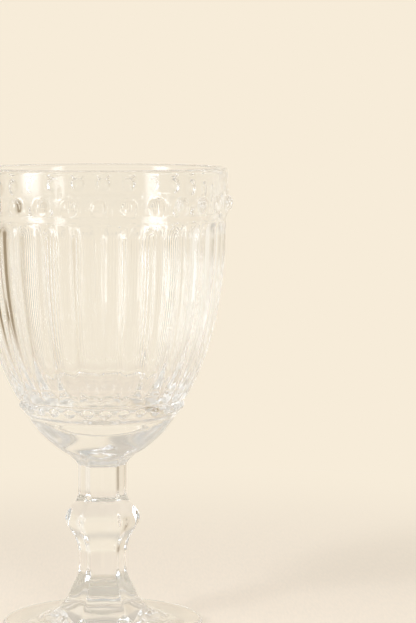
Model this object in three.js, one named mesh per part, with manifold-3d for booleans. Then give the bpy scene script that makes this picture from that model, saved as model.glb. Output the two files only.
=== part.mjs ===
// A pressed glass goblet: a beaded and fluted bowl, a six-sided stem with a knop, and a round foot.
// Millimetres, +Z up. The origin is the middle of the foot's underside, and the front is -Y.

import * as THREE from "three";
import { mergeVertices } from "three/addons/utils/BufferGeometryUtils.js";
import Module from "manifold-3d";

// Whole glass
const GLASS_HEIGHT = 158.9;

// Foot
const FOOT_RADIUS = 34.4;
const FOOT_EDGE_HEIGHT = 3.4;
const FOOT_EDGE_ROUND = 1.5;
const FOOT_TOP_Z = 7.3;
const FOOT_DOME_EASE = 5;
const FOOT_PAD_MARGIN = 0.5;
const FOOT_RECESS_RADIUS = 22;
const FOOT_RECESS_SLOPE = 3;
const FOOT_RECESS_DEPTH = 1.4;

// Stem, from the foot up, its radii measured to the corners of its hexagon
const STEM_SIDES = 6;
const STEM_FLARE_RADIUS = 15.7;
const STEM_FLARE_HEIGHT = 12.2;
const STEM_CREASE_RADIUS = 12.5;
const STEM_CREASE_HEIGHT = 3.4;
const STEM_WAIST_RADIUS = 8.3;
const STEM_WAIST_LENGTH = 6.5;
const STEM_WAIST_EASE = 7;
const STEM_KNOP_RADIUS = 13;
const STEM_KNOP_LOWER_HEIGHT = 12.5;
const STEM_KNOP_UPPER_HEIGHT = 8.7;
const STEM_KNOP_EASE = 3.2;
const STEM_NECK_RADIUS = 8.4;
const STEM_NECK_LENGTH = 9.8;

// Solid base of the bowl, from the stem up
const BASE_PAD_MARGIN = 0.5;
const BASE_UNDERSIDE_HEIGHT = 15;
const BASE_NECK_EASE = 6;
const BASE_RADIUS = 24.8;
const BASE_WALL_EASE = 7.5;
const BASE_WALL_HEIGHT = 2.2;
const BASE_COVE_HEIGHT = 1.6;

// Shoulder with its row of small beads
const SHOULDER_RADIUS = 27.4;
const SHOULDER_HEIGHT = 4.8;
const SHOULDER_STEP = 1.6;
const SMALL_BEAD_WIDTH = 4.4;
const SMALL_BEAD_HEIGHT = 3.2;
const SMALL_BEAD_PROUD = 1.3;

// Fluted wall, as tall as the rest of the glass leaves it
const WALL_TOP_RADIUS = 42.4;
const WALL_TOP_EASE = 25;
const WALL_FOOT_EASE = 17;
const WALL_FOOT_ANGLE = 59;
const FLUTE_COUNT = 28;
const FLUTE_RADIUS = 6.8;
const FLUTE_TOP_DEPTH = 1.15;
const FLUTE_FOOT_DEPTH = 0.6;

// Groove over the flutes, plain band with its row of beads, and the rim
const GROOVE_RADIUS = 42;
const GROOVE_RISE = 0.9;
const LEDGE_HEIGHT = 2.1;
const BAND_RADIUS = 43.9;
const BAND_HEIGHT = 15.1;
const BEAD_RISE = 3;
const BEAD_DIAMETER = 6;
const BEAD_PROUD = 1.1;
const RIM_RADIUS = 43.4;
const RIM_WALL = 2.6;

// Drinking space
const CAVITY_WALL = 2;
const CAVITY_WALL_EASE = 36;
const CAVITY_FLOOR = 15.5;
const CAVITY_FLOOR_EASE = 27;

// Fineness of the curved forms
const BOWL_FACETS = 2 * FLUTE_COUNT;
const FOOT_FACETS = 48;
const FLUTE_FACETS = 16;
const FLUTE_STEPS = 4;
const BEAD_FACETS = 8;
const LONG_CURVE_STEPS = 6;
const CURVE_STEPS = 5;
const ROUND_STEPS = 4;
const WELD = 1e-4;

// Heights of the joints and ledges
const STEM_CREASE_Z = FOOT_TOP_Z + STEM_CREASE_HEIGHT;
const STEM_WAIST_Z = FOOT_TOP_Z + STEM_FLARE_HEIGHT;
const STEM_WAIST_TOP_Z = STEM_WAIST_Z + STEM_WAIST_LENGTH;
const STEM_KNOP_Z = STEM_WAIST_TOP_Z + STEM_KNOP_LOWER_HEIGHT;
const STEM_NECK_Z = STEM_KNOP_Z + STEM_KNOP_UPPER_HEIGHT;
const BOWL_Z = STEM_NECK_Z + STEM_NECK_LENGTH;
const BASE_WALL_Z = BOWL_Z + BASE_UNDERSIDE_HEIGHT;
const BASE_COVE_Z = BASE_WALL_Z + BASE_WALL_HEIGHT;
const SHOULDER_Z = BASE_COVE_Z + BASE_COVE_HEIGHT;
const WALL_Z = SHOULDER_Z + SHOULDER_HEIGHT;
const BAND_Z = GLASS_HEIGHT - BAND_HEIGHT;
const GROOVE_Z = BAND_Z - LEDGE_HEIGHT;
const WALL_TOP_Z = GROOVE_Z - GROOVE_RISE;

const QUARTER_TURN = Math.PI / 2;
const HALF_PITCH = 180 / FLUTE_COUNT;

const wasm = await Module();
wasm.setup();

// A point of a profile.
const at = (radius, height) => new THREE.Vector2(radius, height);

// The points of a cubic curve, from its start to its end.
function swept(start, startHandle, endHandle, end, steps) {
  return new THREE.CubicBezierCurve(start, startHandle, endHandle, end).getPoints(steps);
}

// The points of an arc about a centre, between two angles.
function rounded(centre, radius, from, to) {
  const arc = new THREE.EllipseCurve(centre.x, centre.y, radius, radius, from, to, to < from);
  return arc.getPoints(ROUND_STEPS);
}

// Turns a profile about +Z, with its first corner an angle away from the front.
// The profile runs up the outside, so that the faces point out.
function turned(profile, facets, firstCorner = 0) {
  return new THREE.LatheGeometry(profile, facets, firstCorner).rotateX(QUARTER_TURN);
}

// A closed geometry as a body that can be joined and cut.
function body(geometry) {
  const bare = geometry.clone();
  bare.deleteAttribute("normal");
  bare.deleteAttribute("uv");
  const { attributes, index } = mergeVertices(bare, WELD);
  const vertProperties = new Float32Array(attributes.position.array);
  const triVerts = new Uint32Array(index.array);
  return new wasm.Manifold(new wasm.Mesh({ numProp: 3, vertProperties, triVerts }));
}

// Copies of a body at the front, one for each flute, from a first angle in degrees about +Z.
function ring(copied, firstAngle) {
  const pitch = 360 / FLUTE_COUNT;
  const turns = Array.from({ length: FLUTE_COUNT }, (_, i) => firstAngle + i * pitch);
  return wasm.Manifold.union(turns.map((turn) => copied.rotate([0, 0, turn])));
}

function geometryOf(joined) {
  const { vertProperties, triVerts } = joined.getMesh();
  const geometry = new THREE.BufferGeometry();
  geometry.setAttribute("position", new THREE.BufferAttribute(vertProperties, 3));
  geometry.setIndex(new THREE.BufferAttribute(triVerts, 1));
  geometry.computeVertexNormals();
  return geometry;
}

// A piece of clear pressed glass.
function glassPiece(name, geometry) {
  const material = new THREE.MeshStandardMaterial({
    color: 0xe8e4dc,
    roughness: 0.05,
    metalness: 0,
    transparent: true,
    opacity: 0.45,
  });
  const mesh = new THREE.Mesh(geometry, material);
  mesh.name = name;
  return mesh;
}

// Foot: a disc with a rounded edge and a low dome, hollowed below so that it stands on a ring.
// Its flat top pad carries the stem.
function footGeometry() {
  const roundRadius = FOOT_RADIUS - FOOT_EDGE_ROUND;
  const padRadius = STEM_FLARE_RADIUS + FOOT_PAD_MARGIN;
  const upperRoundZ = FOOT_EDGE_HEIGHT - FOOT_EDGE_ROUND;
  const domeEdge = at(roundRadius, FOOT_EDGE_HEIGHT);
  const pad = at(padRadius, FOOT_TOP_Z);
  const domeHandle = at(roundRadius - FOOT_DOME_EASE, FOOT_EDGE_HEIGHT);
  const padHandle = at(padRadius + FOOT_DOME_EASE, FOOT_EDGE_HEIGHT);
  const profile = [
    at(0, FOOT_RECESS_DEPTH),
    at(FOOT_RECESS_RADIUS - FOOT_RECESS_SLOPE, FOOT_RECESS_DEPTH),
    at(FOOT_RECESS_RADIUS, 0),
    ...rounded(at(roundRadius, FOOT_EDGE_ROUND), FOOT_EDGE_ROUND, -QUARTER_TURN, 0),
    ...rounded(at(roundRadius, upperRoundZ), FOOT_EDGE_ROUND, 0, QUARTER_TURN),
    ...swept(domeEdge, domeHandle, padHandle, pad, CURVE_STEPS).slice(1),
    at(0, FOOT_TOP_Z),
  ];
  return turned(profile, FOOT_FACETS);
}

// Stem: a hexagon with a flat to the front. It leaves the foot in two sloping facets, waists,
// swells into the knop and ends in a straight neck.
function stemGeometry() {
  const waistTop = at(STEM_WAIST_RADIUS, STEM_WAIST_TOP_Z);
  const knop = at(STEM_KNOP_RADIUS, STEM_KNOP_Z);
  const neck = at(STEM_NECK_RADIUS, STEM_NECK_Z);
  const waistHandle = at(STEM_WAIST_RADIUS, STEM_WAIST_TOP_Z + STEM_WAIST_EASE);
  const belowKnop = at(STEM_KNOP_RADIUS, STEM_KNOP_Z - STEM_KNOP_EASE);
  const aboveKnop = at(STEM_KNOP_RADIUS, STEM_KNOP_Z + STEM_KNOP_EASE);
  const neckHandle = at(STEM_NECK_RADIUS, STEM_NECK_Z - STEM_KNOP_EASE);
  const profile = [
    at(0, FOOT_TOP_Z),
    at(STEM_FLARE_RADIUS, FOOT_TOP_Z),
    at(STEM_CREASE_RADIUS, STEM_CREASE_Z),
    at(STEM_WAIST_RADIUS, STEM_WAIST_Z),
    ...swept(waistTop, waistHandle, belowKnop, knop, LONG_CURVE_STEPS),
    ...swept(knop, aboveKnop, neckHandle, neck, CURVE_STEPS).slice(1),
    at(STEM_NECK_RADIUS, BOWL_Z),
    at(0, BOWL_Z),
  ];
  return turned(profile, STEM_SIDES, Math.PI / STEM_SIDES);
}

// The outline of the wall that the flutes are pressed into, from the shoulder up to the groove.
function wallCurve() {
  const slope = THREE.MathUtils.degToRad(WALL_FOOT_ANGLE);
  const foot = at(SHOULDER_RADIUS + SHOULDER_STEP, WALL_Z);
  const top = at(WALL_TOP_RADIUS, WALL_TOP_Z);
  const footLean = at(Math.cos(slope), Math.sin(slope)).multiplyScalar(WALL_FOOT_EASE);
  const footHandle = footLean.add(foot);
  const topHandle = at(WALL_TOP_RADIUS, WALL_TOP_Z - WALL_TOP_EASE);
  return new THREE.CubicBezierCurve(foot, footHandle, topHandle, top);
}

// The bowl before its ornament: solid base, shoulder, wall, groove, band, rim and drinking space.
function blankBowl() {
  const padRadius = STEM_NECK_RADIUS + BASE_PAD_MARGIN;
  const pad = at(padRadius, BOWL_Z);
  const padHandle = at(padRadius, BOWL_Z + BASE_NECK_EASE);
  const base = at(BASE_RADIUS, BASE_WALL_Z);
  const baseHandle = at(BASE_RADIUS, BASE_WALL_Z - BASE_WALL_EASE);
  const lip = RIM_WALL / 2;
  const lipCentre = at(RIM_RADIUS - lip, GLASS_HEIGHT - lip);
  const cavityRadius = WALL_TOP_RADIUS - FLUTE_TOP_DEPTH - CAVITY_WALL;
  const floorZ = BOWL_Z + CAVITY_FLOOR;
  const cavityTop = at(cavityRadius, WALL_TOP_Z);
  const cavityHandle = at(cavityRadius, WALL_TOP_Z - CAVITY_WALL_EASE);
  const floorHandle = at(CAVITY_FLOOR_EASE, floorZ);
  const profile = [
    at(0, BOWL_Z),
    ...swept(pad, padHandle, baseHandle, base, CURVE_STEPS),
    at(BASE_RADIUS, BASE_COVE_Z),
    at(SHOULDER_RADIUS, SHOULDER_Z),
    at(SHOULDER_RADIUS, WALL_Z),
    ...wallCurve().getPoints(LONG_CURVE_STEPS),
    at(GROOVE_RADIUS, GROOVE_Z),
    at(BAND_RADIUS, BAND_Z),
    ...rounded(lipCentre, lip, 0, Math.PI),
    ...swept(cavityTop, cavityHandle, floorHandle, at(0, floorZ), LONG_CURVE_STEPS),
  ];
  return body(turned(profile, BOWL_FACETS));
}

// The tool that presses one flute at the front: a round bar with ball ends, laid along the wall
// so that it sinks in less towards the shoulder, where the flutes crowd together.
function fluteTool() {
  const wall = wallCurve();
  const centres = Array.from({ length: FLUTE_STEPS + 1 }, (_, i) => {
    const share = i / FLUTE_STEPS;
    const depth = THREE.MathUtils.lerp(FLUTE_FOOT_DEPTH, FLUTE_TOP_DEPTH, share);
    const end = Math.sqrt(2 * FLUTE_RADIUS * depth);
    const length = wall.getLength();
    const along = THREE.MathUtils.clamp(share, end / length, 1 - end / length);
    const tangent = wall.getTangentAt(along);
    const outwards = at(tangent.y, -tangent.x).multiplyScalar(FLUTE_RADIUS - depth);
    const centre = wall.getPointAt(along).add(outwards);
    return new THREE.Vector3(0, -centre.x, centre.y);
  });
  const section = new THREE.Shape().absarc(0, 0, FLUTE_RADIUS, 0, 2 * Math.PI);
  const extrudePath = new THREE.CatmullRomCurve3(centres);
  const steps = FLUTE_STEPS;
  const curveSegments = FLUTE_FACETS / 2;
  const bar = new THREE.ExtrudeGeometry(section, { steps, curveSegments, extrudePath });
  const ball = new THREE.SphereGeometry(FLUTE_RADIUS, FLUTE_FACETS, curveSegments);
  ball.rotateZ(QUARTER_TURN);
  const endBall = ({ x, y, z }) => body(ball.clone().translate(x, y, z));
  return body(bar).add(endBall(centres.at(0))).add(endBall(centres.at(-1)));
}

// One bead at the front, proud of the wall at a point of its profile: half of an ellipsoid shows.
function bead(width, height, proud, place) {
  const ball = new THREE.SphereGeometry(1, BEAD_FACETS, BEAD_FACETS / 2);
  ball.scale(width / 2, proud, height / 2);
  return body(ball.translate(0, -place.x, place.y));
}

function bowlGeometry() {
  const onBand = at(BAND_RADIUS, BAND_Z + BEAD_RISE);
  const onShoulder = at(SHOULDER_RADIUS, SHOULDER_Z + SHOULDER_HEIGHT / 2);
  const bandBead = bead(BEAD_DIAMETER, BEAD_DIAMETER, BEAD_PROUD, onBand);
  const smallBead = bead(SMALL_BEAD_WIDTH, SMALL_BEAD_HEIGHT, SMALL_BEAD_PROUD, onShoulder);
  const fluted = blankBowl().subtract(ring(fluteTool(), HALF_PITCH));
  return geometryOf(fluted.add(ring(bandBead, 0)).add(ring(smallBead, 0)));
}

const goblet = new THREE.Group();
goblet.add(glassPiece("foot", footGeometry()));
goblet.add(glassPiece("stem", stemGeometry()));
goblet.add(glassPiece("bowl", bowlGeometry()));

export default goblet;
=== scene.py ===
"""Dresses the packed goblet as clear pressed glass and sets it on a pale studio floor.

Each piece is one closed surface on a grid: rows follow an outline, columns go round the axis, and
the pressed ornament moves a point along the outline's normal. A place in an outline is a radius and
a height. Lengths are in metres, and the helpers mm and length take millimetres.
"""

import math

import bpy
import numpy as np
from bpy.props import FloatProperty, FloatVectorProperty, IntProperty, PointerProperty
from mathutils import Euler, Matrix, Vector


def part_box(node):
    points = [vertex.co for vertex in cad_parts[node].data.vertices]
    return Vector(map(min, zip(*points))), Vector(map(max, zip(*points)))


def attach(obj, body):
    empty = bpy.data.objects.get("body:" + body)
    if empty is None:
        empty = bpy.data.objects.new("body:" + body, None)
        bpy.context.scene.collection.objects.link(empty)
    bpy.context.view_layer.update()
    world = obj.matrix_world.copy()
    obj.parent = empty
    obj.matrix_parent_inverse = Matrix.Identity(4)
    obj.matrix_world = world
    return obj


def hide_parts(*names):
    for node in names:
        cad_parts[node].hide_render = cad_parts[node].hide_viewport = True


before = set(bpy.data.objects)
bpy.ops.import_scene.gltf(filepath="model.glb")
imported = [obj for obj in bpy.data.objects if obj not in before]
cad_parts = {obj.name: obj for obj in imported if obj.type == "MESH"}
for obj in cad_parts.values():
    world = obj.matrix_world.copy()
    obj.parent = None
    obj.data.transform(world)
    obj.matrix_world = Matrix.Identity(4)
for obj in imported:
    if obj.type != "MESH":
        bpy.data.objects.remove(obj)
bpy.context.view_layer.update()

bl_info = {
    "name": "Pressed glass goblet",
    "version": (1, 0, 0),
    "blender": (4, 5, 0),
    "location": "View3D > Sidebar > Goblet",
    "description": "Makes a clear pressed-glass goblet and a pale studio around it",
    "category": "Add Mesh",
}

MM = 0.001
BODY = "root"
FULL_TURN = 2 * math.pi
STEM_SIDES = 6

foot_low, foot_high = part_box("foot")
stem_low, stem_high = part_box("stem")
bowl_low, bowl_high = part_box("bowl")

# Fineness of the grids: rows for each run of an outline, and columns round the axis
OUTLINE_STEP = 0.02 * MM
BOWL_ROWS = {
    "base": 18, "shoulder": 24, "wall": 42, "ledge": 20,
    "band": 22, "lip": 10, "inside": 12, "cavity": 28,
}
STEM_ROWS = {"flare": 12, "skirt": 18, "waist": 12, "swell": 30, "knop": 24, "neck": 14}
FOOT_ROWS = {"recess": 5, "slope": 6, "ring": 5, "low_edge": 9, "top_edge": 9, "dome": 30}
COLUMNS_PER_FLUTE = 20
STEM_COLUMNS, STEM_GATHER = 192, 0.6
FOOT_COLUMNS, FOOT_GATHER = 240, 0.4
POLE_RADIUS = 0.4 * MM

# Bowl and foot start this far outside the stem's corners, before its six sides draw them in
JOINT_MARGIN = 0.5 * MM

# A bead is this share of half a ball, and its foot runs out softly into the wall
BEAD_FULLNESS = 0.9
BEAD_FOOT = 0.06 * MM
ORNAMENT_MARGIN = 1 * MM

# The floor's mesh: its rings and spokes, the radii of its first and last ring, its gap to the foot
FLOOR_RINGS, FLOOR_SPOKES = 48, 96
FLOOR_START, FLOOR_REACH = 20 * MM, 60
FLOOR_DROP = 0.15 * MM
CAMERA_REACH = 200

# The floor's look: radii at which the shade painted under the foot ends and is full, and between which
# the floor fades
PAINTED_SHADE_END, PAINTED_SHADE_FULL = 34 * MM, 14 * MM
FADE_START, FADE_END = 60 * MM, 350 * MM

# The floor's fibres: their width as a share of their length, and how far they darken the paper
FIBRE_SLIMNESS = 0.15
FIBRE_DARKENING = 0.45

# The lamps: the height that high ones lean to, and as shares of a lamp's sides its middle, and how
# far from there its light is full and has faded
AIM_HEIGHT = 100 * MM
LAMP_MIDDLE = (0.5, 0.5, 0)
LAMP_FULL, LAMP_EDGE = {"X": 0.12, "Y": 0.47}, 0.5
LIGHT_BOUNCES = 64

# Sockets of a node that mixes colours
MIX_FROM, MIX_TO, MIXED = 6, 7, 2


def linear(code):
    """Turns an sRGB hex colour into linear red, green and blue, by the sRGB curve."""
    srgb = np.array([int(code[i : i + 2], 16) for i in (1, 3, 5)]) / 255
    return tuple(np.where(srgb <= 0.04045, srgb / 12.92, ((srgb + 0.055) / 1.055) ** 2.4))


def length(name, description, millimetres):
    """A size that a user may change, stated in millimetres."""
    return FloatProperty(
        name=name, description=description, default=millimetres * MM, unit="LENGTH", precision=5
    )


def angle(name, description, degrees):
    """An angle that a user may change, stated in degrees."""
    return FloatProperty(
        name=name, description=description, default=math.radians(degrees), subtype="ANGLE"
    )


def colour(name, description, code):
    """A colour that a user may change, stated as sRGB hex."""
    return FloatVectorProperty(
        name=name, description=description, default=linear(code), subtype="COLOR", min=0, max=1
    )


def power(name, description, watts):
    """A lamp's power that a user may change, stated in watts."""
    return FloatProperty(name=name, description=description, default=watts, subtype="POWER")


def share(name, description, part):
    """A share that a user may change, between 0 and 1."""
    return FloatProperty(
        name=name, description=description, default=part, subtype="FACTOR", min=0, max=1
    )


class BowlSettings(bpy.types.PropertyGroup):
    """Sizes of the bowl and of the ornament pressed into it."""

    base_radius: length("Base radius", "Radius of the solid base under the drinking space", 24.8)
    base_height: length("Base height", "Height of that base over the stem", 16.4)
    collar_radius: length("Collar radius", "Radius at the foot of the small beads' collar", 26.8)
    collar_height: length("Collar height", "Height of that collar's foot over the stem", 19.2)
    wall_foot_radius: length("Wall foot radius", "Radius of the fluted wall at its foot", 29)
    wall_foot_height: length("Wall foot height", "Height of the fluted wall's foot over the stem", 23.6)
    wall_radius: length("Wall radius", "Radius of the fluted wall at its top", 42.4)
    ledge_height: length("Ledge height", "Height of the moulding between the wall and the band", 3)
    band_radius: length("Band radius", "Radius of the plain band at its foot", 43.5)
    band_height: length("Band height", "Height of the plain band, with the rim", 15.1)
    rim_radius: length("Rim radius", "Radius of the rim, outside", 43.1)
    rim_wall: length("Rim wall", "Thickness of the rounded lip", 2.5)
    cavity_radius: length("Cavity radius", "Radius of the drinking space behind the flute tops", 39.25)
    cavity_floor: length("Cavity floor", "Height of the drinking space's floor over the stem", 17.6)
    six_sided: length("Six-sided part", "How far up from the stem its six sides still show", 9)
    flute_count: IntProperty(name="Flutes", description="Flutes, and beads in each row", default=28)
    flute_radius: length("Flute radius", "Radius of the flute's hollow section", 7.5)
    flute_top_depth: length("Flute depth at top", "Depth of a flute under its arch", 1.6)
    flute_foot_depth: length("Flute depth at foot", "Depth of a flute at the shoulder", 0.75)
    flute_edge: length("Flute edge", "How far the fire polish has rounded a flute's edges", 0.2)
    arch_rise: length("Arch rise", "How far an arch reaches past the top of the wall", 0.4)
    bead_diameter: length("Bead diameter", "Diameter of a bead under the rim", 5.5)
    bead_proud: length("Bead height", "How far a bead stands proud of the band", 1.45)
    bead_place: length("Bead place", "Distance of a bead's middle from the band's foot", 3)
    small_bead_width: length("Small bead width", "Width of a small bead on the shoulder", 4)
    small_bead_height: length("Small bead height", "Height of a small bead on the shoulder", 2.8)
    small_bead_proud: length("Small bead relief", "How far a small bead stands proud", 1.2)
    small_bead_place: length("Small bead place", "Distance of its middle from the wall's foot", 3.4)
    crease: length("Crease", "How far the fire polish has rounded the pressed creases", 0.22)
    turn: angle("Turn", "Turn of the flutes and beads towards the right", -1.1)
    small_bead_turn: angle("Small bead turn", "Turn of the small beads towards the right", 2.5)


class StemSettings(bpy.types.PropertyGroup):
    """Sizes of the six-sided stem, its radii measured to the corners and its heights from the foot."""

    flare_radius: length("Flare radius", "Corner radius where the stem meets the foot", 15.7)
    crease_radius: length("Crease radius", "Corner radius at the crease low on the flare", 12.5)
    crease_height: length("Crease height", "Height of that crease", 3.4)
    waist_radius: length("Waist radius", "Corner radius under the knop", 8.3)
    waist_height: length("Waist height", "Height at which the waist starts", 12.2)
    waist_length: length("Waist length", "Length of the straight waist", 6.5)
    knop_radius: length("Knop radius", "Corner radius of the knop", 13)
    knop_height: length("Knop height", "Height of the knop's widest part", 31.2)
    neck_radius: length("Neck radius", "Corner radius of the neck under the bowl", 8.4)
    neck_height: length("Neck height", "Height at which the neck starts", 39.9)
    crease: length("Crease", "How far the fire polish has rounded the creases", 0.45)
    turn: angle("Turn", "Turn of the stem's flats towards the right", 2)
    hollow: share("Hollow", "How far the middle of a flat is hollowed, as a share of its radius", 0.05)
    corner: FloatProperty(
        name="Corner sharpness", description="Power that draws the hexagon; more is sharper", default=60
    )


class FootSettings(bpy.types.PropertyGroup):
    """Sizes of the round foot."""

    radius: length("Radius", "Radius of the foot", 34.4)
    edge_height: length("Edge height", "Height of the rounded edge", 3.4)
    edge_round: length("Edge round", "Radius of the edge's two roundings", 1.5)
    recess_radius: length("Recess radius", "Radius of the hollow underside", 22)
    recess_depth: length("Recess depth", "Depth of the hollow underside", 1.4)
    recess_slope: length("Recess slope", "Width of the slope round the hollow underside", 3)
    six_sided: length("Six-sided part", "How far out from the stem its six sides still show", 12)
    crease: length("Crease", "How far the fire polish has rounded the creases", 0.15)


class GlassSettings(bpy.types.PropertyGroup):
    """The clear glass."""

    tint: colour("Tint", "Colour of the clear glass", "#fdfdfc")
    shade: colour("Shade", "What one skin of the glass leaves of lamp light in its shadow", "#eeeeee")
    roughness: share("Roughness", "Roughness of the fire-polished skin", 0.04)
    ior: FloatProperty(name="IOR", description="Refraction of soda-lime glass", default=1.52)
    ripple: length("Ripple", "Width of the ripples that the mould leaves", 11)
    ripple_height: length("Ripple height", "Height of those ripples", 0.007)


class StageSettings(bpy.types.PropertyGroup):
    """Floor, background, lamps and camera."""

    backdrop: colour("Backdrop", "Pale colour behind the glass", "#f7ecd9")
    floor: colour("Floor", "Colour of the floor near the glass", "#f4e4cf")
    # Darker tone of the paper's fibres, and also the painted shade that colours the floor under the foot
    fibre_tone_and_painted_shade: colour("Under foot", "Colour of the floor that the foot shades", "#d9d0c0")
    fibre: length("Fibre", "Width of the fibres in the floor's paper", 0.9)
    front: colour("Front", "Dimmer room in front of the glass, which the glass shows", "#c6c8c6")
    above: colour("Above", "Dim zone high up, which the glass shows", "#d0c8bc")
    # Where the far floor glows in these zones, the left one is painted shade and the right one painted
    # light
    left: colour("Left", "Dim warm zone at the left, which the glass shows", "#e2d4be")
    corner: colour("Corner", "Dark corner behind at the left, which the glass shows", "#9a876b")
    corner_turn: angle("Corner turn", "Turn of that corner from the front towards the right", -112)
    right: colour("Right", "Bright zone at the right, which the glass shows", "#fdf6e9")
    daylight: FloatProperty(
        name="Daylight", description="Strength of the soft light all round", default=0.48
    )
    lamp_light: colour("Lamp light", "Colour of the lamps", "#f2f7ff")
    key_lamp: power("Key lamp", "Power of the key lamp", 100)
    left_lamp: power("Left lamp", "Power of the left lamp", 5.4)
    right_lamp: power("Right lamp", "Power of the right lamp", 2.6)
    fill_lamp: power("Fill lamp", "Power of the fill lamp", 48)
    low_card: power("Low card", "Power of the card that lies at the right", 1)
    lens: FloatProperty(
        name="Lens", description="Focal length in millimetres", default=132.9, unit="CAMERA"
    )
    camera_distance: length("Camera distance", "Distance of the camera from the axis", 782)
    camera_height: length("Camera height", "Height of the camera over the table", 181.4)
    camera_tilt: angle("Camera tilt", "Tilt of the camera down from level", 5.25)
    camera_turn: angle("Camera turn", "Turn of the camera to the right of the axis", 2.66)


def at(radius, height):
    """A place in an outline's plane."""
    return np.array((radius, height))


def mm(out, up):
    """An arrow in an outline's plane, from millimetres outwards and upwards."""
    return np.array((out, up)) * MM


def curve(start, end, leave, arrive, points=200):
    """Points of a cubic curve that leaves its start by one arrow and comes to its end by another.

    The two ends and the tips of the two arrows are weighted by the cubic Bernstein shares.
    """
    part = np.linspace(0, 1, points)[:, None]
    rest = 1 - part
    corners = (start, start + leave, end - arrive, end)
    weights = (rest**3, 3 * rest**2 * part, 3 * rest * part**2, part**3)
    return sum(weight * corner for weight, corner in zip(weights, corners))


def arc(centre, radius, start, end, points=60):
    """Points of an arc, its angles in degrees: the centre plus the radius times cosine and sine."""
    turns = np.radians(np.linspace(start, end, points))
    return centre + radius * np.stack((np.cos(turns), np.sin(turns)), 1)


def softened(points, ease, cut=4):
    """An outline read at an even step of length, its corners rounded by a bell-shaped average.

    The bell is as wide as the ease, and is cut off at so many times that. Each end is continued by
    its own half turn, so that the end points stay. Gives the length from the start, and the radius
    and the height there.
    """
    gaps = np.hypot(*np.diff(points, axis=0).T)
    along = np.concatenate(([0], np.cumsum(gaps)))
    even = np.linspace(0, along[-1], int(along[-1] / OUTLINE_STEP))
    reach = min(int(cut * ease / OUTLINE_STEP), len(even) - 2)
    bell = np.exp(-0.5 * (np.arange(-reach, reach + 1) * OUTLINE_STEP / ease) ** 2)

    def averaged(values):
        before = 2 * values[0] - values[reach:0:-1]
        after = 2 * values[-1] - values[-2 : -reach - 2 : -1]
        return np.convolve(np.concatenate((before, values, after)), bell / bell.sum(), "valid")

    radius, height = (averaged(np.interp(even, along, axis)) for axis in np.transpose(points))
    return even, radius, height


class Profile:
    """Rows of points on an outline that is joined from named runs, each with its count of rows.

    A row has its length along the outline, radius, height, and the normal to the right of the way
    that the outline runs, each as a column that spreads over a ring of angles. start and end give
    the length at which a run starts, and that at which the next one does.
    """

    def __init__(self, outline, counts, ease):
        runs = list(outline.values())
        lengths = [np.hypot(*np.diff(points, axis=0).T).sum() for points in runs]
        gaps = [np.hypot(*(after[0] - before[-1])) for before, after in zip(runs, runs[1:])] + [0]
        bounds = np.concatenate(([0], np.cumsum(np.add(lengths, gaps))))
        self.start = dict(zip(outline, bounds))
        self.end = dict(zip(outline, bounds[1:]))
        even, radius, height = softened(np.concatenate(runs), ease)
        normal = np.stack((np.gradient(height), -np.gradient(radius)))
        normal /= np.hypot(*normal)
        places = [
            np.linspace(self.start[run], self.end[run], counts[run], endpoint=False) for run in outline
        ]
        self.along = np.concatenate((*places, even[-1:]))[:, None]
        self.radius, self.height, self.out, self.up = (
            np.interp(self.along, even, values) for values in (radius, height, *normal)
        )


def ring(count):
    """Angles of an even ring of columns, from the front towards the right."""
    return np.arange(count) * FULL_TURN / count


def ring_of_sides(count, gather):
    """Angles of a ring of columns that gather at the stem's corners.

    On each side they follow a sine from its middle, mixed by the share gather with an even spread.
    """
    part = (np.arange(count // STEM_SIDES) + 0.5) * 2 * STEM_SIDES / count - 1
    side = (gather * np.sin(part * math.pi / 2) + (1 - gather) * part) * math.pi / STEM_SIDES
    return (side + ring(STEM_SIDES)[:, None]).ravel()


def hexagon(turns, stem):
    """Radius of the stem's six-sided outline, a flat to the front, as a share of its corner radius.

    It is the power mean of the six flats: the middle radius of a flat, divided by the root of the
    sum of the powers of the cosines from each flat's middle. A higher power sharpens the corners.
    Each flat is hollowed by a share that falls as a cosine from its middle to its corners.
    """
    faced = np.maximum(np.cos(turns[..., None] - ring(STEM_SIDES)), 0)
    flats = math.cos(math.pi / STEM_SIDES) / (faced**stem.corner).sum(-1) ** (1 / stem.corner)
    return flats * (1 - stem.hollow * (1 + np.cos(STEM_SIDES * turns)) / 2)


def eased(values, low, high):
    """Goes smoothly from 0 at low to 1 at high, as 3 t squared less 2 t cubed."""
    part = np.clip((values - low) / (high - low), 0, 1)
    return part * part * (3 - 2 * part)


def proud(values, soft):
    """The part of a relief that is over zero, with its foot rounded by a length.

    It is half the sum of the value and the root of its square plus that length's square.
    """
    return (values + np.sqrt(values * values + soft * soft)) / 2


def bead(across, along, width, tall, height):
    """Relief of an oval bead, from the distances across and along to its middle.

    It is a cut of a ball over the share of the bead's radius, zero at its edge.
    """
    part = 2 * np.hypot(across / width, along / tall)
    dome = np.sqrt(np.maximum(1 - (BEAD_FULLNESS * part) ** 2, 0))
    edge = math.sqrt(1 - BEAD_FULLNESS**2)
    return proud(height * (dome - edge) / (1 - edge), BEAD_FOOT)


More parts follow.
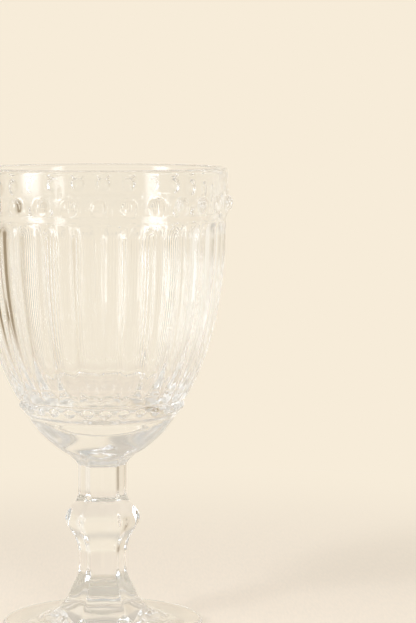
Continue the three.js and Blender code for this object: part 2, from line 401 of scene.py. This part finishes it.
def closed_piece(name, turns, radius, height, poles, joints):
    """Makes a closed mesh of glass from rings of points and a pole at each end.

    A point lies its radius out, at its angle from the front and its height. poles gives the heights
    of the two poles. joints names the ends, 0 or 1, whose fan is a fused joint: its rim is a sharp
    edge, and it takes the second material.
    """
    rows, count = radius.shape
    x, y = radius * np.sin(turns), -radius * np.cos(turns)
    rings = np.stack((x, y, np.broadcast_to(height, radius.shape)), -1).reshape(-1, 3)
    points = np.concatenate((rings, [(0, 0, poles[0]), (0, 0, poles[1])]))
    here = np.arange(rows * count).reshape(rows, count)
    after = np.roll(here, -1, 1)
    quads = np.stack((here[:-1], after[:-1], after[1:], here[1:]), -1).reshape(-1, 4)
    first, last = len(rings), len(rings) + 1
    fans = np.concatenate((
        np.stack((np.full(count, first), after[0], here[0]), -1),
        np.stack((here[-1], after[-1], np.full(count, last)), -1),
    ))
    mesh = bpy.data.meshes.new(name)
    mesh.from_pydata(points.tolist(), [], quads.tolist() + fans.tolist())
    mesh.polygons.foreach_set("use_smooth", np.ones(len(mesh.polygons), bool))
    slots = np.zeros(len(mesh.polygons), np.int32)
    edges = np.empty(len(mesh.edges) * 2, np.int32)
    mesh.edges.foreach_get("vertices", edges)
    edges = edges.reshape(-1, 2)
    sharp = np.zeros(len(edges), bool)
    for end in joints:
        fan = len(quads) + end * count
        slots[fan : fan + count] = 1
        joint_ring = here[-1] if end else here[0]
        sharp |= np.isin(edges, joint_ring).all(1)
    mesh.polygons.foreach_set("material_index", slots)
    mesh.attributes.new("sharp_edge", "BOOLEAN", "EDGE").data.foreach_set("value", sharp)
    mesh.materials.append(material("pressed soda-lime glass", pressed_glass))
    mesh.materials.append(material("fused glass joint", fused_joint))
    mesh.update()
    if mesh.validate():
        raise RuntimeError(f"{name} has faces that are not sound")
    piece = bpy.data.objects.new(name, mesh)
    bpy.context.scene.collection.objects.link(piece)
    return piece


def dress(piece, node):
    """Puts a piece in place of its CAD node."""
    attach(piece, BODY)
    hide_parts(node)


def add(tree, kind, inputs=(), **settings):
    """Adds a node with its settings. An input is a value, or a socket that it is linked to."""
    made = tree.nodes.new(kind)
    for name, value in settings.items():
        setattr(made, name, value)
    for socket, value in dict(inputs).items():
        if isinstance(value, bpy.types.NodeSocket):
            tree.links.new(value, made.inputs[socket])
        else:
            made.inputs[socket].default_value = value
    return made


def material(name, nodes):
    """The material of that name, made once. nodes is a function that adds its nodes to a tree and
    gives the socket of the surface."""
    made = bpy.data.materials.get(name)
    if made is None:
        made = bpy.data.materials.new(name)
        made.use_nodes = True
        tree = made.node_tree
        tree.nodes.clear()
        add(tree, "ShaderNodeOutputMaterial", {"Surface": nodes(tree)})
    return made


def pressed_glass(tree):
    """Soda-lime glass, pressed in an iron mould and fire-polished: clear, smooth and bright, with
    the slow ripples of the mould, so that lines seen through it waver. Lamp light passes it, so
    that its shadow stays as faint as that of a real glass."""
    glass = bpy.context.scene.goblet_glass
    place = add(tree, "ShaderNodeTexCoord").outputs["Object"]
    ripples = add(tree, "ShaderNodeTexNoise", {
        "Vector": place, "Scale": 1 / glass.ripple, "Detail": 1.0, "Roughness": 0.4,
    })
    skin = add(tree, "ShaderNodeBump", {
        "Height": ripples.outputs["Fac"], "Strength": 1.0, "Distance": glass.ripple_height,
    })
    body = add(tree, "ShaderNodeBsdfPrincipled", {
        "Base Color": (*glass.tint, 1),
        "Roughness": glass.roughness,
        "IOR": glass.ior,
        "Transmission Weight": 1.0,
        "Normal": skin.outputs["Normal"],
    })
    through = add(tree, "ShaderNodeBsdfTransparent", {"Color": (*glass.shade, 1)})
    path = add(tree, "ShaderNodeLightPath")
    return add(tree, "ShaderNodeMixShader", {
        "Fac": path.outputs["Is Shadow Ray"], 1: body.outputs["BSDF"], 2: through.outputs["BSDF"],
    }).outputs["Shader"]


def fused_joint(tree):
    """The face inside a hot-fused joint: the glass runs on without a break, so it cannot be seen."""
    return add(tree, "ShaderNodeBsdfTransparent", {"Color": (1, 1, 1, 1)}).outputs["BSDF"]


def matt_paper(tree):
    """Uncoated paper, rolled out as a floor: soft and without gloss, with a painted shade that makes it
    a little darker under the foot. Its fibres run from front to back, and are drawn coarser than real
    ones so that they show. Further out it fades into a glow of the room's tone, so that floor and
    backdrop run into one; seen in the glass, that glow is painted light at the right, painted shade
    at the left, and dark towards a corner."""
    stage = bpy.context.scene.goblet_stage
    place = add(tree, "ShaderNodeTexCoord").outputs["Object"]
    from_axis = add(tree, "ShaderNodeVectorMath", {0: place}, operation="LENGTH").outputs["Value"]
    # Painted shade: a mask that is full under the foot and fades out further from the axis
    under = add(tree, "ShaderNodeMapRange", {
        "Value": from_axis, "From Min": PAINTED_SHADE_END, "From Max": PAINTED_SHADE_FULL,
    }, interpolation_type="SMOOTHSTEP")
    combed = add(tree, "ShaderNodeMapping", {"Vector": place, "Scale": (1, FIBRE_SLIMNESS, 1)})
    fibres = add(tree, "ShaderNodeTexNoise", {
        "Vector": combed.outputs["Vector"], "Scale": 1 / stage.fibre, "Detail": 2.0,
    })
    # Adds the fibres' grain to the painted shade under the foot, as a share of the darker colour
    fibres_and_painted_shade = add(tree, "ShaderNodeMath", {
        0: fibres.outputs["Fac"], 1: FIBRE_DARKENING, 2: under.outputs["Result"],
    }, operation="MULTIPLY_ADD")
    # The paper's colour, with the painted shade under the foot
    paper = add(tree, "ShaderNodeMix", {
        "Factor": fibres_and_painted_shade.outputs["Value"], MIX_FROM: (*stage.floor, 1), MIX_TO: (*stage.fibre_tone_and_painted_shade, 1),
    }, data_type="RGBA")
    matt = add(tree, "ShaderNodeBsdfDiffuse", {"Color": paper.outputs[MIXED]})
    outwards = add(tree, "ShaderNodeVectorMath", {0: place}, operation="NORMALIZE")
    # Seen in the glass, the far floor glows brighter at the right as painted light, dimmer at the left
    # as painted shade, and dark towards a corner
    tone = room_tone(tree, outwards.outputs["Vector"], ("left", "right", "corner"))
    glow = add(tree, "ShaderNodeEmission", {"Color": tone, "Strength": 1.0})
    fade = add(tree, "ShaderNodeMapRange", {
        "Value": from_axis, "From Min": FADE_START, "From Max": FADE_END,
    }, interpolation_type="SMOOTHSTEP")
    faded = add(tree, "ShaderNodeMath", {
        0: fade.outputs["Result"], 1: seen_rays(tree),
    }, operation="MULTIPLY")
    return add(tree, "ShaderNodeMixShader", {
        "Fac": faded.outputs["Value"], 1: matt.outputs["BSDF"], 2: glow.outputs["Emission"],
    }).outputs["Shader"]


def seen_rays(tree):
    """A socket that is 1 on rays from the camera, a reflection or the inside of the glass."""
    path = add(tree, "ShaderNodeLightPath").outputs
    outside = add(tree, "ShaderNodeMath", {
        0: path["Is Camera Ray"], 1: path["Is Glossy Ray"],
    }, operation="MAXIMUM")
    return add(tree, "ShaderNodeMath", {
        0: outside.outputs["Value"], 1: path["Is Transmission Ray"],
    }, operation="MAXIMUM").outputs["Value"]


def room_tone(tree, way, zones):
    """The colour that the room shows along a way: the backdrop's to the eye, and zones in the glass.

    A zone comes in smoothly with the cosine between the way and the direction that it lies in.
    """
    stage = bpy.context.scene.goblet_stage
    corner = (math.sin(stage.corner_turn), -math.cos(stage.corner_turn), 0)
    # The direction of each zone, and the cosines at which it starts and is full
    zone_range = {
        "left": ((-1, 0, 0), 0.2, 0.8),
        "right": ((1, 0, 0), 0.45, 0.85),
        "above": ((0, 0, 1), 0.2, 0.65),
        "front": ((0, -1, 0), -0.2, 0.5),
        "corner": (corner, 0.965, 0.99),
    }
    room = backdrop = (*stage.backdrop, 1)
    for zone in zones:
        direction, starts, full = zone_range[zone]
        cosine = add(tree, "ShaderNodeVectorMath", {0: way, 1: direction}, operation="DOT_PRODUCT")
        within = add(tree, "ShaderNodeMapRange", {
            "Value": cosine.outputs["Value"], "From Min": starts, "From Max": full,
        }, interpolation_type="SMOOTHSTEP")
        room = add(tree, "ShaderNodeMix", {
            "Factor": within.outputs["Result"], MIX_FROM: room, MIX_TO: (*getattr(stage, zone), 1),
        }, data_type="RGBA").outputs[MIXED]
    eye = add(tree, "ShaderNodeLightPath").outputs["Is Camera Ray"]
    return add(tree, "ShaderNodeMix", {
        "Factor": eye, MIX_FROM: room, MIX_TO: backdrop,
    }, data_type="RGBA").outputs[MIXED]


class GOBLET_OT_bowl(bpy.types.Operator):
    """Makes the bowl: solid base, beaded shoulder, fluted wall, beaded band, rim and drinking space"""

    bl_idname = "goblet.bowl"
    bl_label = "Bowl"

    def execute(self, context):
        bowl, stem = context.scene.goblet_bowl, context.scene.goblet_stem
        start_radius = stem.neck_radius + JOINT_MARGIN
        rows = Profile(self.outline(bowl, start_radius), BOWL_ROWS, bowl.crease)
        turns = ring(bowl.flute_count * COLUMNS_PER_FLUTE)
        relief = self.relief(bowl, rows, turns)
        neck = stem.neck_radius * hexagon(turns - stem.turn, stem) / start_radius
        six_sided = 1 - eased(rows.along, 0, bowl.six_sided)
        radius = (rows.radius + rows.out * relief) * (1 + six_sided * (neck - 1))
        height = rows.height + rows.up * relief
        poles = (bowl_low.z, bowl_low.z + bowl.cavity_floor)
        piece = closed_piece("goblet_bowl", turns, radius, height, poles, joints=(0,))
        dress(piece, "bowl")
        return {"FINISHED"}

    @staticmethod
    def outline(bowl, start_radius):
        """The outline from the neck up the outside, over the lip, and down to the floor inside."""
        low_z, rim_z = bowl_low.z, bowl_high.z
        band_z = rim_z - bowl.band_height
        top_z = band_z - bowl.ledge_height
        neck = at(start_radius, low_z)
        base = at(bowl.base_radius, low_z + bowl.base_height)
        collar = at(bowl.collar_radius, low_z + bowl.collar_height)
        collar_step = collar + mm(0.02, 0.1)
        wall_foot = at(bowl.wall_foot_radius, low_z + bowl.wall_foot_height)
        wall_top = at(bowl.wall_radius, top_z)
        band_foot = at(bowl.band_radius, band_z)
        lip_radius = bowl.rim_wall / 2
        lip_centre = at(bowl.rim_radius - lip_radius, rim_z - lip_radius)
        lip_side = at(lip_radius, 0)
        cavity_top = at(bowl.cavity_radius, top_z)
        cavity_floor = at(POLE_RADIUS, low_z + bowl.cavity_floor)
        return {
            "base": curve(neck, base, leave=mm(0, 2.6), arrive=mm(4.2, 8.2)),
            "shoulder": np.concatenate((
                curve(base, collar, leave=mm(0.2, 1.2), arrive=mm(0.4, 1.4)),
                curve(collar_step, wall_foot, leave=mm(0.38, 3.1), arrive=mm(1.4, 1)),
            )),
            "wall": curve(wall_foot, wall_top, leave=mm(8.76, 14.57), arrive=mm(0, 25)),
            "ledge": np.stack((
                wall_top, wall_top + mm(0.12, 0.5), wall_top + mm(0.1, 1),
                band_foot - mm(0.15, 0.4), band_foot,
            )),
            "band": np.stack((band_foot, lip_centre + lip_side)),
            "lip": arc(lip_centre, lip_radius, 0, 180),
            "inside": np.stack((lip_centre - lip_side, cavity_top)),
            "cavity": curve(cavity_top, cavity_floor, leave=mm(-0.65, -32.8), arrive=mm(-32.6, 0)),
        }

    @staticmethod
    def relief(bowl, rows, turns):
        """How far the ornament moves each point along the normal.

        A flute sinks by its depth less the rise of its round section and of the wall's own round,
        with a ball's section past its ends. Flutes lie between the beads.
        """
        pitch = FULL_TURN / bowl.flute_count
        along = rows.along
        wall_start, wall_end = rows.start["wall"], rows.end["wall"]

        def from_middle(turn):
            """Angle from the middle of the nearest of the ornaments that start at a turn."""
            return (turns - turn + pitch / 2) % pitch - pitch / 2

        def across(apart):
            """Straight distance round the bowl over an angle: twice the radius times its half's sine."""
            return 2 * rows.radius * np.sin(apart / 2)

        from_flute = from_middle(bowl.turn + pitch / 2)
        up_the_wall = np.clip((along - wall_start) / (wall_end - wall_start), 0, 1)
        depth = bowl.flute_foot_depth + (bowl.flute_top_depth - bowl.flute_foot_depth) * up_the_wall
        foot_end = math.sqrt(2 * bowl.flute_radius * bowl.flute_foot_depth)
        arch_end = math.sqrt(2 * bowl.flute_radius * bowl.flute_top_depth)
        past_foot = wall_start + foot_end - along
        past_arch = along - (wall_end + bowl.arch_rise - arch_end)
        past = np.maximum(np.maximum(past_foot, past_arch), 0)
        reach = np.minimum(np.hypot(across(from_flute), past), bowl.flute_radius)
        section = bowl.flute_radius - np.sqrt(bowl.flute_radius**2 - reach**2)
        round_wall = rows.radius * (1 - np.cos(from_flute))
        flutes = proud(depth - section - round_wall, bowl.flute_edge)
        beads = bead(
            across(from_middle(bowl.turn)), along - rows.start["band"] - bowl.bead_place,
            bowl.bead_diameter, bowl.bead_diameter, bowl.bead_proud,
        )
        small_beads = bead(
            across(from_middle(bowl.small_bead_turn)), along - wall_start + bowl.small_bead_place,
            bowl.small_bead_width, bowl.small_bead_height, bowl.small_bead_proud,
        )
        on_wall = (along > wall_start - ORNAMENT_MARGIN) & (along < wall_end + ORNAMENT_MARGIN)
        on_band = (along > rows.start["band"] - ORNAMENT_MARGIN) & (along < rows.end["band"])
        on_shoulder = (along > rows.start["shoulder"]) & (along < wall_start + ORNAMENT_MARGIN)
        return on_band * beads + on_shoulder * small_beads - on_wall * flutes


class GOBLET_OT_stem(bpy.types.Operator):
    """Makes the six-sided stem: flare in two facets, waist, knop and neck"""

    bl_idname = "goblet.stem"
    bl_label = "Stem"

    def execute(self, context):
        stem = context.scene.goblet_stem
        rows = Profile(self.outline(stem), STEM_ROWS, stem.crease)
        turns = ring_of_sides(STEM_COLUMNS, STEM_GATHER)
        radius = rows.radius * hexagon(turns, stem)
        poles = (stem_low.z, stem_high.z)
        piece = closed_piece("goblet_stem", turns + stem.turn, radius, rows.height, poles, joints=(0, 1))
        dress(piece, "stem")
        return {"FINISHED"}

    @staticmethod
    def outline(stem):
        """The outline of a corner, from the foot up to the bowl."""
        low_z = stem_low.z
        flare = at(stem.flare_radius, low_z)
        crease = at(stem.crease_radius, low_z + stem.crease_height)
        waist = at(stem.waist_radius, low_z + stem.waist_height)
        waist_top = waist + at(0, stem.waist_length)
        knop = at(stem.knop_radius, low_z + stem.knop_height)
        neck = at(stem.neck_radius, low_z + stem.neck_height)
        return {
            "flare": np.stack((flare, crease)),
            "skirt": np.stack((crease, waist)),
            "waist": np.stack((waist, waist_top)),
            "swell": curve(waist_top, knop, leave=mm(0, 7), arrive=mm(0, 3.2)),
            "knop": curve(knop, neck, leave=mm(0, 3.2), arrive=mm(0, 3.2)),
            "neck": np.stack((neck, at(stem.neck_radius, stem_high.z))),
        }


class GOBLET_OT_foot(bpy.types.Operator):
    """Makes the round foot: domed top, rounded edge and hollow underside"""

    bl_idname = "goblet.foot"
    bl_label = "Foot"

    def execute(self, context):
        foot, stem = context.scene.goblet_foot, context.scene.goblet_stem
        end_radius = stem.flare_radius + JOINT_MARGIN
        rows = Profile(self.outline(foot, end_radius), FOOT_ROWS, foot.crease)
        turns = ring_of_sides(FOOT_COLUMNS, FOOT_GATHER)
        flare = stem.flare_radius * hexagon(turns, stem) / end_radius
        six_sided = eased(rows.along, rows.end["dome"] - foot.six_sided, rows.end["dome"])
        radius = rows.radius * (1 + six_sided * (flare - 1))
        poles = (foot_low.z + foot.recess_depth, foot_high.z)
        piece = closed_piece("goblet_foot", turns + stem.turn, radius, rows.height, poles, joints=(1,))
        dress(piece, "foot")
        return {"FINISHED"}

    @staticmethod
    def outline(foot, end_radius):
        """The outline from the middle of the underside, round the edge, and up the dome to the stem."""
        low_z = foot_low.z
        edge_z, recess_z = low_z + foot.edge_height, low_z + foot.recess_depth
        rounding = foot.edge_round
        rim = foot.radius - rounding
        recess_middle = at(POLE_RADIUS, recess_z)
        recess_edge = at(foot.recess_radius - foot.recess_slope, recess_z)
        ring_inside = at(foot.recess_radius, low_z)
        dome_top = at(end_radius, foot_high.z)
        dome_rise = at(0, foot_high.z - edge_z)
        return {
            "recess": np.stack((recess_middle, recess_edge)),
            "slope": np.stack((recess_edge, ring_inside)),
            "ring": np.stack((ring_inside, at(rim, low_z))),
            "low_edge": arc(at(rim, low_z + rounding), rounding, -90, 0),
            "top_edge": arc(at(rim, edge_z - rounding), rounding, 0, 90),
            "dome": curve(at(rim, edge_z), dome_top, leave=mm(-5, 0), arrive=dome_rise + mm(-5, 0)),
        }


class GOBLET_OT_stage(bpy.types.Operator):
    """Makes the pale floor, the soft light round it, four lamps, a low card of light and the camera"""

    bl_idname = "goblet.stage"
    bl_label = "Studio"

    def execute(self, context):
        scene, stage = context.scene, context.scene.goblet_stage
        scene.view_settings.view_transform = "Standard"
        scene.cycles.max_bounces = LIGHT_BOUNCES
        scene.cycles.transmission_bounces = LIGHT_BOUNCES
        scene.cycles.glossy_bounces = LIGHT_BOUNCES
        self.floor()
        self.world(scene, stage)
        # The two side lamps give the glass its upright glints
        self.lamp(stage, "left_lamp", azimuth=-64, distance=0.9, size=(0.42, 0.54), height=0.42)
        self.lamp(stage, "right_lamp", azimuth=45, distance=0.9, size=(0.28, 0.56), height=0.4)
        # The key casts the shadow and the fill lifts it, and the glass shows neither
        key = self.lamp(stage, "key_lamp", azimuth=-46, distance=2.6, size=(0.65, 0.65), height=1.5)
        fill = self.lamp(stage, "fill_lamp", azimuth=14, distance=2.6, size=(0.8, 0.8), height=1.4)
        for lamp in (key, fill):
            lamp.visible_glossy = lamp.visible_transmission = False
        # The card lies on the floor and shines upwards, for glints on what faces down
        card = self.lamp(stage, "low_card", azimuth=45, distance=0.74, size=(0.1, 0.76), height=0.004)
        card.rotation_euler.x = math.pi
        card.visible_transmission = False
        self.camera(scene, stage)
        return {"FINISHED"}

    @staticmethod
    def floor():
        """A wide disc just under the foot, from rings that grow outwards."""
        out = np.geomspace(FLOOR_START, FLOOR_REACH, FLOOR_RINGS)[:, None]
        turns = ring(FLOOR_SPOKES)
        level = np.full((FLOOR_RINGS, FLOOR_SPOKES), foot_low.z - FLOOR_DROP)
        points = np.stack((out * np.sin(turns), -out * np.cos(turns), level), -1)
        here = np.arange(level.size).reshape(level.shape)
        after = np.roll(here, -1, 1)
        quads = np.stack((here[:-1], here[1:], after[1:], after[:-1]), -1).reshape(-1, 4)
        mesh = bpy.data.meshes.new("studio_floor")
        mesh.from_pydata(points.reshape(-1, 3).tolist(), [], quads.tolist() + [here[0].tolist()])
        mesh.materials.append(material("matt paper floor", matt_paper))
        mesh.update()
        piece = bpy.data.objects.new("studio_floor", mesh)
        bpy.context.scene.collection.objects.link(piece)

    @staticmethod
    def world(scene, stage):
        """Even soft light. The eye sees the backdrop's colour, and the glass also shows the room:
        dimmer above, in front and at the left, dark in a corner, and brighter at the right."""
        scene.world = bpy.data.worlds.new("studio")
        scene.world.use_nodes = True
        tree = scene.world.node_tree
        tree.nodes.clear()
        way = add(tree, "ShaderNodeTexCoord").outputs["Generated"]
        tone = room_tone(tree, way, ("left", "right", "above", "front", "corner"))
        view = add(tree, "ShaderNodeBackground", {"Color": tone, "Strength": 1.0})
        light = add(tree, "ShaderNodeBackground", {"Color": (1, 1, 1, 1), "Strength": stage.daylight})
        both = add(tree, "ShaderNodeMixShader", {
            "Fac": seen_rays(tree), 1: light.outputs["Background"], 2: view.outputs["Background"],
        })
        add(tree, "ShaderNodeOutputWorld", {"Surface": both.outputs["Shader"]})

    @staticmethod
    def lamp(stage, name, azimuth, distance, size, height):
        """A soft lamp that fades towards its edges and faces the glass.

        Azimuth is in degrees from the front towards the right. A low lamp stands upright, and one
        that is higher than half its distance leans down to the bowl.
        """
        light = bpy.data.lights.new(name, "AREA")
        light.shape = "RECTANGLE"
        light.size, light.size_y = size
        light.energy = getattr(stage, name)
        light.use_nodes = True
        tree = light.node_tree
        tree.nodes.clear()
        spot = add(tree, "ShaderNodeNewGeometry").outputs["Parametric"]
        offset = add(tree, "ShaderNodeVectorMath", {0: spot, 1: LAMP_MIDDLE}, operation="SUBTRACT")
        apart = add(tree, "ShaderNodeVectorMath", {0: offset.outputs["Vector"]}, operation="ABSOLUTE")
        sides = add(tree, "ShaderNodeSeparateXYZ", {"Vector": apart.outputs["Vector"]})
        across, upwards = (
            add(tree, "ShaderNodeMapRange", {
                "Value": sides.outputs[side], "From Min": LAMP_EDGE, "From Max": full,
            }, interpolation_type="SMOOTHSTEP").outputs["Result"]
            for side, full in LAMP_FULL.items()
        )
        glow = add(tree, "ShaderNodeMath", {0: across, 1: upwards}, operation="MULTIPLY")
        shine = add(tree, "ShaderNodeEmission", {
            "Color": (*stage.lamp_light, 1), "Strength": glow.outputs["Value"],
        })
        add(tree, "ShaderNodeOutputLight", {"Surface": shine.outputs["Emission"]})
        lamp = bpy.data.objects.new(name, light)
        turn = math.radians(azimuth)
        lamp.location = (distance * math.sin(turn), -distance * math.cos(turn), height)
        lean = math.atan2(height - AIM_HEIGHT, distance) if height > distance / 2 else 0
        lamp.rotation_euler = Euler((math.pi / 2 - lean, 0, turn))
        lamp.visible_camera = False
        bpy.context.scene.collection.objects.link(lamp)
        return lamp

    @staticmethod
    def camera(scene, stage):
        """The camera at the photograph's height and angle."""
        lens = bpy.data.cameras.new("photo_camera")
        lens.lens = stage.lens
        lens.clip_end = CAMERA_REACH
        camera = bpy.data.objects.new("photo_camera", lens)
        camera.location = (0, -stage.camera_distance, stage.camera_height)
        camera.rotation_euler = Euler((math.pi / 2 - stage.camera_tilt, 0, -stage.camera_turn))
        scene.collection.objects.link(camera)
        scene.camera = camera


class GOBLET_PT_pieces(bpy.types.Panel):
    """Lists the goblet's pieces and their sizes"""

    bl_idname = "GOBLET_PT_pieces"
    bl_label = "Goblet"
    bl_space_type = "VIEW_3D"
    bl_region_type = "UI"
    bl_category = "Goblet"

    def draw(self, context):
        for operator in OPERATORS:
            self.layout.operator(operator.bl_idname)
        for name, settings in SETTINGS.items():
            column = self.layout.column(align=True)
            column.label(text=settings.__doc__)
            for field in settings.__annotations__:
                column.prop(getattr(context.scene, name), field)


SETTINGS = {
    "goblet_bowl": BowlSettings,
    "goblet_stem": StemSettings,
    "goblet_foot": FootSettings,
    "goblet_glass": GlassSettings,
    "goblet_stage": StageSettings,
}
OPERATORS = (GOBLET_OT_stage, GOBLET_OT_foot, GOBLET_OT_stem, GOBLET_OT_bowl)


def register():
    for made in (*SETTINGS.values(), *OPERATORS, GOBLET_PT_pieces):
        bpy.utils.register_class(made)
    for name, settings in SETTINGS.items():
        setattr(bpy.types.Scene, name, PointerProperty(type=settings))


def unregister():
    for name in SETTINGS:
        delattr(bpy.types.Scene, name)
    for made in (GOBLET_PT_pieces, *OPERATORS, *SETTINGS.values()):
        bpy.utils.unregister_class(made)


def main():
    register()
    bpy.ops.goblet.stage()
    bpy.ops.goblet.foot()
    bpy.ops.goblet.stem()
    bpy.ops.goblet.bowl()


if __name__ == "__main__":
    main()
